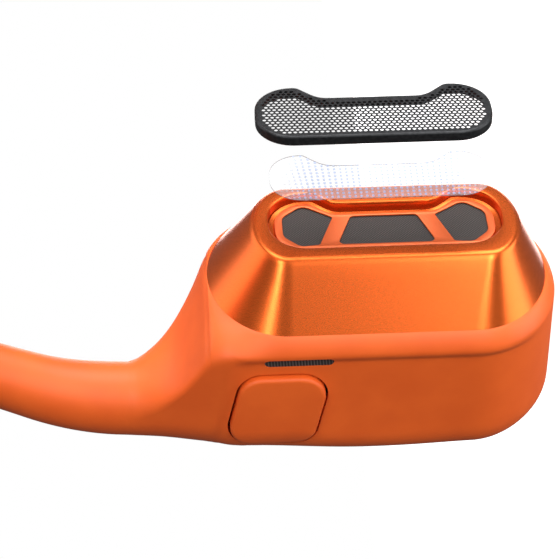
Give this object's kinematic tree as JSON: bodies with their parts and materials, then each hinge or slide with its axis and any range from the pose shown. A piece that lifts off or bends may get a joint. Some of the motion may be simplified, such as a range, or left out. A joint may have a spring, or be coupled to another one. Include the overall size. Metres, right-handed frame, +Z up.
{
  "type": "bone conduction headphones",
  "caption": "Open-ear bone conduction headset with two pods, ear hooks, control housings and a rear band; left grille and membrane lifted off.",
  "frame": {"origin": "middle of the footprint on the floor", "axes": "+Z up as worn, +Y to the rear band, +X to the wearer's left"},
  "size_m": [0.0964, 0.1221, 0.0705],
  "materials": {
    "silicone": "matt moulded silicone",
    "cap_satin": "satin paint with a fine metallic flake",
    "woven_mesh": "fine woven mesh",
    "membrane_film": "clear film with a dot pattern",
    "grille_metal": "black painted perforated sheet",
    "inner_plastic": "moulded",
    "magnet": "plated",
    "cone_film": "formed film",
    "steel": "stamped",
    "copper": "enamelled wire",
    "skin_pad": "soft silicone",
    "board": "solder mask",
    "titanium": "drawn wire",
    "cable": "insulation",
    "battery_wrap": "foil pouch",
    "light_pipe": "clear",
    "gold": "plated"
  },
  "bodies": {
    "right_arm": {"band_cable": "cable", "band_flex_zone": "silicone", "band_right": "silicone", "band_wire": "titanium", "board_screws": "steel", "charge_contacts": "gold", "dock_magnet": "magnet", "main_board": "board", "right_acoustic_mesh": "woven_mesh", "right_baffle_plate": "cap_satin", "right_grille": "grille_metal", "right_hook_cable": "cable", "right_hook_sleeve": "silicone", "right_hook_wire": "titanium", "right_housing_inner": "silicone", "right_housing_outer": "silicone", "right_membrane": "membrane_film", "right_microphone": "steel", "right_pod_chassis": "inner_plastic", "right_pod_sleeve": "silicone", "right_speaker_basket": "inner_plastic", "right_speaker_cap": "cap_satin", "right_speaker_magnet": "magnet", "right_spring_plate": "steel", "right_transducer_magnet": "magnet", "right_transducer_yoke": "steel", "status_light": "light_pipe", "volume_switches": "inner_plastic"},
    "left_arm": {"band_left": "silicone", "battery": "battery_wrap", "left_acoustic_mesh": "woven_mesh", "left_baffle_plate": "cap_satin", "left_call_switch_board": "board", "left_hook_cable": "cable", "left_hook_sleeve": "silicone", "left_hook_wire": "titanium", "left_housing_inner": "silicone", "left_housing_outer": "silicone", "left_microphone": "steel", "left_pod_chassis": "inner_plastic", "left_pod_sleeve": "silicone", "left_speaker_basket": "inner_plastic", "left_speaker_cap": "cap_satin", "left_speaker_magnet": "magnet", "left_spring_plate": "steel", "left_transducer_magnet": "magnet", "left_transducer_yoke": "steel"},
    "left_grille": {"left_grille": "grille_metal"},
    "left_membrane": {"left_membrane": "membrane_film"},
    "call_button": {"left_call_button": "silicone"},
    "volume_up": {"volume_up": "silicone"},
    "volume_down": {"volume_down": "silicone"},
    "left_pad": {"left_skin_pad": "skin_pad", "left_vibration_plate": "steel", "left_voice_coil": "copper"},
    "right_pad": {"right_skin_pad": "skin_pad", "right_vibration_plate": "steel", "right_voice_coil": "copper"},
    "left_cone": {"left_speaker_cone": "cone_film"},
    "right_cone": {"right_speaker_cone": "cone_film"}
  },
  "joints": [
    {"name": "band_flex", "type": "hinge", "parent": "right_arm", "child": "left_arm", "pos_m": [0, 0.0593, 0.00161], "axis": [0, 0, 1], "range_deg": [-5, 30], "stiffness_Nm_per_rad": 0.25, "deforming": ["band_flex_zone", "band_wire", "band_cable"]},
    {"name": "grille_lift", "type": "slide", "parent": "left_arm", "child": "left_grille", "axis": [0, 0.9996, 0.0272], "range_m": [-0.01148, 0]},
    {"name": "membrane_lift", "type": "slide", "parent": "left_arm", "child": "left_membrane", "axis": [0, 0.9996, 0.0272], "range_m": [-0.00513, 0]},
    {"name": "call_press", "type": "slide", "parent": "left_arm", "child": "call_button", "axis": [-1, 0, 0], "range_m": [0, 0.0003], "stiffness_N_per_m": 400, "springref_m": -0.0003},
    {"name": "volume_up_press", "type": "slide", "parent": "right_arm", "child": "volume_up", "axis": [1, 0, 0], "range_m": [0, 0.00035], "stiffness_N_per_m": 400, "springref_m": -0.0003},
    {"name": "volume_down_press", "type": "slide", "parent": "right_arm", "child": "volume_down", "axis": [1, 0, 0], "range_m": [0, 0.00035], "stiffness_N_per_m": 400, "springref_m": -0.0003},
    {"name": "left_pad_drive", "type": "slide", "parent": "left_arm", "child": "left_pad", "axis": [-1, 0, 0], "range_m": [-0.00025, 0.00025], "stiffness_N_per_m": 2000},
    {"name": "right_pad_drive", "type": "slide", "parent": "right_arm", "child": "right_pad", "axis": [1, 0, 0], "range_m": [-0.00025, 0.00025], "stiffness_N_per_m": 2000},
    {"name": "left_cone_drive", "type": "slide", "parent": "left_arm", "child": "left_cone", "axis": [0, 0.9962, -0.0872], "range_m": [-0.0002, 0.0002], "stiffness_N_per_m": 500},
    {"name": "right_cone_drive", "type": "slide", "parent": "right_arm", "child": "right_cone", "axis": [0, 0.9962, -0.0872], "range_m": [-0.0002, 0.0002], "stiffness_N_per_m": 500}
  ],
  "couplings": [
    {"joint": "membrane_lift", "follows": "grille_lift", "ratio": 0.44737}
  ]
}
